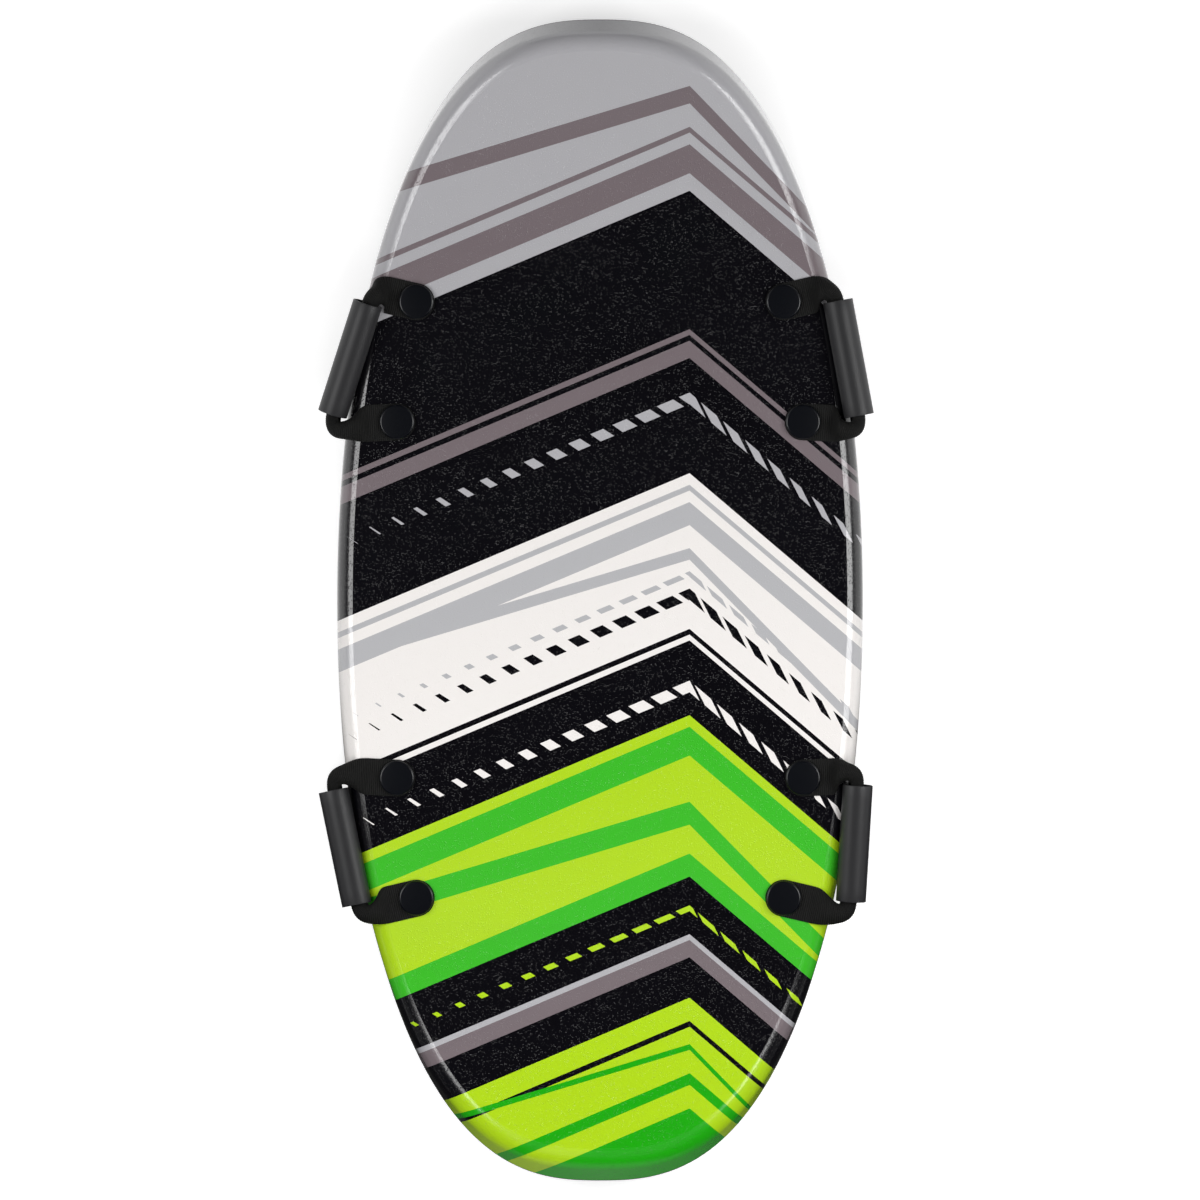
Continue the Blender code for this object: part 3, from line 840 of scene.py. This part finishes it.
# one handle's webbing in even rows, with ribs across it and its own lay kept for the weave
def strapMesh(handle, material):
    sections = endSections(handle, 1) + endSections(handle, -1)[::-1]
    middles = np.array([[point for point, _ in points] for points in sections])
    normals = np.array([[normal for _, normal in points] for points in sections])
    centre = middles[:, strap["acrossSteps"] // 2]
    runs = np.concatenate(([0], np.cumsum(np.linalg.norm(np.diff(centre, axis=0), axis=1))))
    rows = np.linspace(0, runs[-1], int(runs[-1] / strap["rowStep"]))
    at = np.clip(np.searchsorted(runs, rows, side="right") - 1, 0, len(runs) - 2)
    share = ((rows - runs[at]) / (runs[at + 1] - runs[at]))[:, None, None]
    middles = middles[at] * (1 - share) + middles[at + 1] * share
    normals = normals[at] * (1 - share) + normals[at + 1] * share
    ends = np.minimum(np.arange(len(rows)), np.arange(len(rows))[::-1]) * strap["rowStep"]
    loose = np.clip((ends - strap["easeFrom"]) / strap["easeOver"], 0, 1)[:, None, None]
    middles += (eased(middles) - middles) * loose
    normals += (eased(normals) - normals) * loose
    normals /= np.linalg.norm(normals, axis=2, keepdims=True)
    across = np.linspace(-1, 1, strap["acrossSteps"] + 1)
    body = 1 - across ** strap["edgePower"]
    half = strap["thickness"] / 2 * (strap["edgeShare"] + (1 - strap["edgeShare"]) * body**0.5)
    ribs = strap["ribHeight"] * np.cos(math.tau * rows / strap["ribPitch"])[:, None] * body
    upper = middles + normals * (half + ribs - strap["ribHeight"])[:, :, None]
    lower = middles - normals * (half + ribs - strap["ribHeight"])[:, :, None]
    count = 2 * len(across)
    place = np.array(flexFrame(corners[handle]))
    verts = np.concatenate((upper, lower[:, ::-1]), axis=1).reshape(-1, 3) @ place[:3, :3].T + place[:3, 3]
    faces = []
    starts = [k * count for k in range(len(rows))]
    joinRings(faces, starts, count)
    faces += [list(range(count)), list(range(starts[-1], starts[-1] + count))]
    made = addMesh(f"strap_{handle}", verts, faces, material, strap["sharpAngle"])
    lay = made.data.attributes.new("strapLay", "FLOAT_VECTOR", "POINT")
    ring = np.concatenate((across, across[::-1])) * strap["width"] / 2
    side = np.concatenate((np.zeros(len(across)), np.full(len(across), strap["underside"])))
    grid = np.empty((len(rows), count, 3))
    grid[:, :, 0], grid[:, :, 1], grid[:, :, 2] = rows[:, None], ring, side
    lay.data.foreach_set("vector", grid.ravel().astype(np.float32))
    return made


webbingFinish = wovenWebbing()
for handle, corner in corners.items():
    webbing = strapMesh(handle, webbingFinish)
    hinge = flexFrame(corner)
    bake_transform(webbing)
    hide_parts(f"strap_loop_{handle}", f"strap_end_{handle}_inner", f"strap_end_{handle}_outer")
print("straps made")


# grips


def mouldedGrip():
    # extruded polyethylene tube, charcoal: satin skin with a fine matt tooth along it
    made, tree, shader = newMaterial("gripPolyethylene", "#242426", {"Roughness": 0.48, "IOR": 1.5})
    grain = (1 / 0.0009, 1 / 0.0009, 1 / 0.03)  # 0.9 by 30 mm, coarser than real so that it shows
    place = addNode(tree, "ShaderNodeTexCoord").outputs["Object"]
    stretched = addNode(tree, "ShaderNodeMapping", {"Scale": grain}, {"Vector": place})
    tooth = addNode(
        tree, "ShaderNodeTexNoise", {"Scale": 1.0, "Detail": 3.0}, {"Vector": stretched.outputs[0]}
    )
    bump = addNode(
        tree, "ShaderNodeBump", {"Strength": 0.35, "Distance": 0.00004}, {"Height": tooth.outputs["Fac"]}
    )
    tree.links.new(bump.outputs["Normal"], shader.inputs["Normal"])
    rough = addNode(
        tree, "ShaderNodeMapRange", {"To Min": 0.43, "To Max": 0.53}, {"Value": tooth.outputs["Fac"]}
    )
    tree.links.new(rough.outputs[0], shader.inputs["Roughness"])
    return made


def gripProfile():
    radius, soft, half = grip["radius"], grip["rimRound"], grip["length"] / 2
    deep, turns = half - grip["mouthDepth"], grip["rimTurns"]
    mouth = [(boreRadius, deep), (boreRadius, half - soft)]
    mouth += [(boreRadius + soft * (1 - math.cos(t)), half - soft * (1 - math.sin(t))) for t in turns]
    mouth += [(radius - soft * (1 - math.cos(t)), half - soft * (1 - math.sin(t))) for t in reversed(turns)]
    mouth += [(radius, half - soft), (radius, deep)]
    return mouth + [(wide, -height) for wide, height in reversed(mouth)]


gripFinish = mouldedGrip()
for handle, corner in corners.items():
    middle, axis = gripLine(handle)
    stand = axis.to_track_quat("Z", "X").to_matrix().to_4x4()
    stand.translation = middle
    tube = lathe(f"tube_{handle}", gripProfile(), grip["sides"], gripFinish, flexFrame(corner) @ stand)
    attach(tube, f"tube_{handle}")
    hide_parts(f"grip_{handle}")
print("grips made")


# rivets


def mouldedRivet():
    # injection-moulded nylon: blue-black with a fine spark-eroded skin
    made, tree, shader = newMaterial("rivetNylon", "#06080E", {"Roughness": 0.28, "IOR": 1.53})
    place = addNode(tree, "ShaderNodeTexCoord").outputs["Object"]
    grit = 1 / 0.0005  # 0.5 mm, coarser than real so that it shows
    skin = addNode(tree, "ShaderNodeTexNoise", {"Scale": grit, "Detail": 2.0}, {"Vector": place})
    bump = addNode(
        tree, "ShaderNodeBump", {"Strength": 0.3, "Distance": 0.00003}, {"Height": skin.outputs["Fac"]}
    )
    tree.links.new(bump.outputs["Normal"], shader.inputs["Normal"])
    return made


def capProfile():
    radius, edge, post = rivet["radius"], rivet["edgeRound"], rivet["postRadius"]
    rim = rivet["height"] - rivet["crown"]
    foot = rivet["baseRecess"] + rivet["baseThickness"] + rivet["postGap"] - capLevel
    profile = [(0, foot), (post - rivet["postBevel"], foot), (post, foot + rivet["postBevel"])]
    profile += [(post, 0), (radius - rivet["footBevel"], 0), (radius, rivet["footBevel"])]
    for i in range(rivet["edgeSteps"] + 1):
        turn = math.pi / 2 * i / rivet["edgeSteps"]
        profile.append((radius - edge * (1 - math.cos(turn)), rim - edge * (1 - math.sin(turn))))
    flat = radius - edge
    for i in range(1, rivet["crownSteps"]):
        out = flat * (1 - i / rivet["crownSteps"])
        profile.append((out, rivet["height"] - rivet["crown"] * (out / flat) ** 2))
    return profile + [(0, rivet["height"])]


def baseProfile():
    radius, low, bevel = rivet["radius"], rivet["baseRecess"], rivet["baseBevel"]
    top = low + rivet["baseThickness"]
    hole = rivet["postRadius"] + gap
    sleeve = hole + rivet["sleeveWall"]
    sleeveTop = board["thickness"] - rivet["sleeveEnd"]
    plate = [(0, low), (radius - bevel, low), (radius, low + bevel), (radius, top), (sleeve, top)]
    return plate + [(sleeve, sleeveTop), (hole, sleeveTop), (hole, top), (0, top)]


rivetFinish = mouldedRivet()
for handle, corner in corners.items():
    for spot, place in zip(("inner", "outer"), capPlaces(corner)):
        capPlace = Matrix.Translation((place.x, place.y, capLevel))
        basePlace = Matrix.Translation(place.to_3d())
        cap = lathe(f"cap_{handle}_{spot}", capProfile(), rivet["sides"], rivetFinish, capPlace)
        base = lathe(f"base_{handle}_{spot}", baseProfile(), rivet["sides"], rivetFinish, basePlace)
        for piece, node in ((cap, "rivet_cap"), (base, "rivet_base")):
            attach(piece, "board")
            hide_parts(f"{node}_{handle}_{spot}")
print("rivets made")


# floor, light and camera


studio = dict(
    ambient=0.19,  # even light from all round
    ceiling=0.01,  # what shiny parts see overhead, dark so that black film stays black
    walls=1.2,  # and beside the board
    ends=0.02,  # and past the nose and the tail
    tailGlow=0.4,  # and low behind the tail, in its rim
    wallFall=0.8,  # how soon the side walls end towards the nose and the tail
    tailFall=1.2,  # how soon the tail's glow ends to both sides
    tailFade=(0.3, 0.8),  # where that glow starts and is full
    floorFade=(0.02, 0.22),  # where the side walls start and are full, as the floor shows them
    worldFade=(0.5, 0.95),  # and as the world shows them
    wallTop=(0.12, 0.5),  # how steeply a look goes up where the walls start to fade, and are gone
    floorColour="#E8E8E8",
    floorGlow=0.52,  # that the camera sees on top of that colour
    floorBounce="#8C8C8C",  # the floor's colour to light that bounces off it
    floorReach=9,
    floorDrop=0.001,  # below the board
)
# the side lamps stand high enough not to glare off the deck in a low view from the side; the one over
# the tail softens the shade there and leaves no streak
lamps = dict(
    left=dict(place=(-1.21, 0.13, 1.34), target=(0, 0.13, 0.05), size=(0.8, 0.85), power=11.2, streak=True),
    right=dict(place=(1.29, 0.13, 1.25), target=(0, 0.13, 0.05), size=(0.8, 0.85), power=14.6, streak=True),
    tail=dict(place=(0, -0.75, 1.2), target=(0, -0.6, 0.05), size=(1.6, 1.0), power=10.0, streak=False),
)
picture = dict(
    lens=400,  # millimetres: far off, so that the raised tips look no larger than the middle
    sensor=36,  # millimetres
    width=1.139,  # metres across the picture at deck level
    clip=50,  # how far the camera sees
)


# brightness of the surroundings that shiny parts see, from a place or a direction: bright walls at the
# sides that reach further towards the nose, and a softer one behind the tail
def addWalls(tree, vector, fade):
    size = addNode(tree, "ShaderNodeVectorMath", links={0: vector}, operation="ABSOLUTE")
    sizes = addNode(tree, "ShaderNodeSeparateXYZ", links={0: size.outputs[0]})
    axes = addNode(tree, "ShaderNodeSeparateXYZ", links={0: vector})
    beside = addNode(
        tree,
        "ShaderNodeMath",
        {1: -studio["wallFall"]},
        {0: sizes.outputs["Y"], 2: sizes.outputs["X"]},
        operation="MULTIPLY_ADD",
    )
    noseward = addNode(
        tree, "ShaderNodeMath", links={0: axes.outputs["Y"], 1: beside.outputs[0]}, operation="ADD"
    )
    side = addNode(
        tree,
        "ShaderNodeMapRange",
        {"From Min": fade[0], "From Max": fade[1], "To Min": studio["ends"], "To Max": studio["walls"]},
        {"Value": noseward.outputs[0]},
    )
    tailward = addNode(tree, "ShaderNodeMath", {1: -1.0}, {0: axes.outputs["Y"]}, operation="MULTIPLY")
    behind = addNode(
        tree,
        "ShaderNodeMath",
        {1: -studio["tailFall"]},
        {0: sizes.outputs["X"], 2: tailward.outputs[0]},
        operation="MULTIPLY_ADD",
    )
    start, end = studio["tailFade"]
    tail = addNode(
        tree,
        "ShaderNodeMapRange",
        {"From Min": start, "From Max": end, "To Min": 0.0, "To Max": studio["tailGlow"]},
        {"Value": behind.outputs[0]},
    )
    return addNode(tree, "ShaderNodeMath", links={0: side.outputs[0], 1: tail.outputs[0]}, operation="ADD")


# one shader for the camera, one for what shiny and clear parts show, and one for all other light
def addRays(tree, seen, mirrored, plain):
    path = addNode(tree, "ShaderNodeLightPath")
    shiny = addNode(
        tree,
        "ShaderNodeMath",
        links={0: path.outputs["Is Glossy Ray"], 1: path.outputs["Is Transmission Ray"]},
        operation="MAXIMUM",
    )
    unseen = addNode(
        tree, "ShaderNodeMixShader", links={0: shiny.outputs[0], 1: plain.outputs[0], 2: mirrored.outputs[0]}
    )
    return addNode(
        tree,
        "ShaderNodeMixShader",
        links={0: path.outputs["Is Camera Ray"], 1: unseen.outputs[0], 2: seen.outputs[0]},
    )


def paleFloor():
    # matt backdrop paper: near white to the camera, with the board's shadow on it; to shiny parts it glows
    # with bright walls beside the board and a glow behind the tail, a painted reflection, and to other light
    # it is mid grey
    made = bpy.data.materials.new("paleFloor")
    made.use_nodes = True
    tree = made.node_tree
    tree.nodes.clear()
    matt = addNode(tree, "ShaderNodeBsdfDiffuse", {"Color": linear(studio["floorColour"])})
    glow = addNode(tree, "ShaderNodeEmission", {"Color": linear("#FFFFFF"), "Strength": studio["floorGlow"]})
    seen = addNode(tree, "ShaderNodeAddShader", links={0: matt.outputs[0], 1: glow.outputs[0]})
    # painted reflection: the floor glows with side walls and a tail glow that only shiny parts see
    walls = addWalls(tree, addNode(tree, "ShaderNodeTexCoord").outputs["Object"], studio["floorFade"])
    mirrored = addNode(
        tree, "ShaderNodeEmission", {"Color": linear("#FFFFFF")}, {"Strength": walls.outputs[0]}
    )
    plain = addNode(tree, "ShaderNodeBsdfDiffuse", {"Color": linear(studio["floorBounce"])})
    shown = addRays(tree, seen, mirrored, plain)
    addNode(tree, "ShaderNodeOutputMaterial", links={"Surface": shown.outputs[0]})
    return made


def studioWorld():
    # white behind the floor, bright walls in the shine and a weak even light on everything else
    made = bpy.data.worlds.new("studio")
    made.use_nodes = True
    tree = made.node_tree
    tree.nodes.clear()
    heading = addNode(tree, "ShaderNodeTexCoord").outputs["Generated"]
    direction = addNode(tree, "ShaderNodeSeparateXYZ", links={0: heading})
    low, high = studio["wallTop"]
    below = addNode(
        tree,
        "ShaderNodeMapRange",
        {"From Min": low, "From Max": high, "To Min": 1.0, "To Max": 0.0},
        {"Value": direction.outputs["Z"]},
    )
    walls = addWalls(tree, heading, studio["worldFade"])
    level = addNode(
        tree,
        "ShaderNodeMath",
        {2: studio["ceiling"]},
        {0: below.outputs[0], 1: walls.outputs[0]},
        operation="MULTIPLY_ADD",
    )
    seen = addNode(tree, "ShaderNodeBackground", {"Color": linear("#FFFFFF"), "Strength": 1.0})
    mirrored = addNode(
        tree, "ShaderNodeBackground", {"Color": linear("#FFFFFF")}, {"Strength": level.outputs[0]}
    )
    plain = addNode(tree, "ShaderNodeBackground", {"Color": linear("#FFFFFF"), "Strength": studio["ambient"]})
    shown = addRays(tree, seen, mirrored, plain)
    addNode(tree, "ShaderNodeOutputWorld", links={"Surface": shown.outputs[0]})
    return made


def addSoftbox(name, place, target, size, power, streak):
    lamp = bpy.data.lights.new(name, "AREA")
    lamp.shape = "RECTANGLE"
    lamp.size, lamp.size_y = size
    lamp.energy = power
    made = bpy.data.objects.new(name, lamp)
    made.location = place
    made.rotation_euler = (Vector(target) - Vector(place)).to_track_quat("-Z", "Y").to_euler()
    made.visible_glossy = streak
    bpy.context.scene.collection.objects.link(made)


reach = studio["floorReach"]
floorCorners = [(-reach, -reach, 0), (reach, -reach, 0), (reach, reach, 0), (-reach, reach, 0)]
floor = addMesh("floor", floorCorners, [(0, 1, 2, 3)], paleFloor())
floor.location.z = -studio["floorDrop"]
bpy.context.scene.world = studioWorld()
for side, lamp in lamps.items():
    addSoftbox(f"softbox_{side}", **lamp)

camera = bpy.data.objects.new("camera", bpy.data.cameras.new("camera"))
camera.data.lens = picture["lens"]
camera.data.sensor_width = picture["sensor"]
camera.data.clip_end = picture["clip"]
camera.location.z = board["thickness"] + picture["width"] * picture["lens"] / picture["sensor"]
bpy.context.scene.collection.objects.link(camera)
bpy.context.scene.camera = camera
bpy.context.scene.view_settings.view_transform = "Standard"
print("floor, light and camera set")
